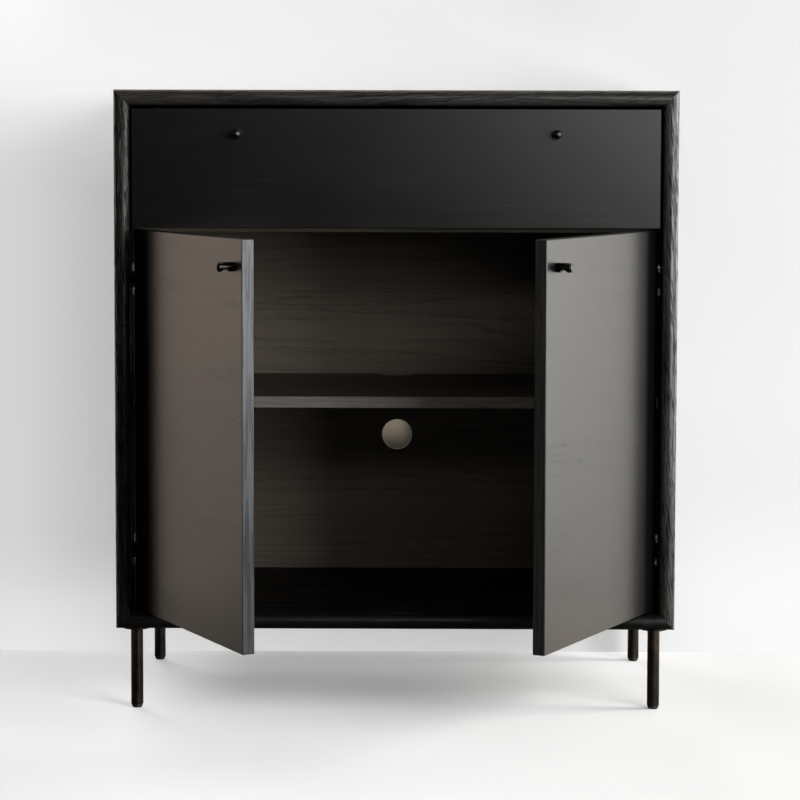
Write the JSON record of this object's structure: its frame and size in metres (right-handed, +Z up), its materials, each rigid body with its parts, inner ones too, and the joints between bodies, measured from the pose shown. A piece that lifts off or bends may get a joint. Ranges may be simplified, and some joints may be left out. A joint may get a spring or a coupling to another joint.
{
  "type": "media cabinet",
  "caption": "Black-stained oak media cabinet on thin round legs: mitred bullnose carcass, full-width drawer over a two-door compartment with shelf and cable hole.",
  "frame": {"origin": "on the floor, midway across, and midway between the opened doors' foremost edge and the back of the carcass", "axes": "+X to the viewer's right, +Y from the front to the back, +Z up"},
  "size_m": [0.9144, 0.8008, 1.016],
  "materials": {
    "black_oak": "black-stained oak, satin lacquer, grain along each board",
    "black_oak_front": "black-stained oak veneer, satin lacquer, grain running across",
    "black_oak_back": "black-stained oak veneer on a thin board, grain running across",
    "drawer_birch": "clear-lacquered birch ply",
    "dark_bronze": "blackened bronze, satin",
    "nickel_steel": "nickel-plated steel",
    "zinc_steel": "zinc-plated steel",
    "black_plastic": "moulded black plastic"
  },
  "bodies": {
    "carcass": {"back_panel": "black_oak_back", "back_screws": "nickel_steel", "bottom_panel": "black_oak", "divider_panel": "black_oak", "front_left_glide": "black_plastic", "front_left_leg": "dark_bronze", "front_left_leg_disc": "dark_bronze", "front_right_glide": "black_plastic", "front_right_leg": "dark_bronze", "front_right_leg_disc": "dark_bronze", "left_hinge_arms": "nickel_steel", "left_hinge_plates": "nickel_steel", "left_plate_screws": "nickel_steel", "left_side_panel": "black_oak", "left_slide_fixed_member": "zinc_steel", "rear_left_glide": "black_plastic", "rear_left_leg": "dark_bronze", "rear_left_leg_disc": "dark_bronze", "rear_right_glide": "black_plastic", "rear_right_leg": "dark_bronze", "rear_right_leg_disc": "dark_bronze", "right_hinge_arms": "nickel_steel", "right_hinge_plates": "nickel_steel", "right_plate_screws": "nickel_steel", "right_side_panel": "black_oak", "right_slide_fixed_member": "zinc_steel", "shelf": "black_oak", "shelf_pins": "nickel_steel", "slide_screws": "nickel_steel", "top_panel": "black_oak"},
    "drawer": {"drawer_back": "drawer_birch", "drawer_bottom": "drawer_birch", "drawer_box_front": "drawer_birch", "drawer_front": "black_oak_front", "drawer_knob_screws": "nickel_steel", "drawer_left_knob": "dark_bronze", "drawer_left_side": "drawer_birch", "drawer_right_knob": "dark_bronze", "drawer_right_side": "drawer_birch", "left_slide_drawer_member": "zinc_steel", "right_slide_drawer_member": "zinc_steel"},
    "slide_middle_members": {"left_slide_middle_member": "zinc_steel", "right_slide_middle_member": "zinc_steel"},
    "left_door": {"left_cup_screws": "nickel_steel", "left_door": "black_oak_front", "left_door_knob": "dark_bronze", "left_door_knob_screw": "nickel_steel", "left_hinge_cups": "nickel_steel", "left_hinge_pins": "nickel_steel"},
    "right_door": {"right_cup_screws": "nickel_steel", "right_door": "black_oak_front", "right_door_knob": "dark_bronze", "right_door_knob_screw": "nickel_steel", "right_hinge_cups": "nickel_steel", "right_hinge_pins": "nickel_steel"}
  },
  "joints": [
    {"name": "drawer_slide", "type": "slide", "parent": "carcass", "child": "drawer", "axis": [0, -1, 0], "range_m": [0, 0.35]},
    {"name": "slide_extension", "type": "slide", "parent": "carcass", "child": "slide_middle_members", "axis": [0, -1, 0], "range_m": [0, 0.175]},
    {"name": "left_door_hinge", "type": "hinge", "parent": "carcass", "child": "left_door", "pos_m": [-0.4078, -0.03675, 0.5], "axis": [0, 0, -1], "range_deg": [-62, 33]},
    {"name": "right_door_hinge", "type": "hinge", "parent": "carcass", "child": "right_door", "pos_m": [0.4078, -0.03675, 0.5], "axis": [0, 0, 1], "range_deg": [-62, 33]}
  ],
  "couplings": [
    {"joint": "slide_extension", "follows": "drawer_slide", "ratio": 0.5}
  ]
}
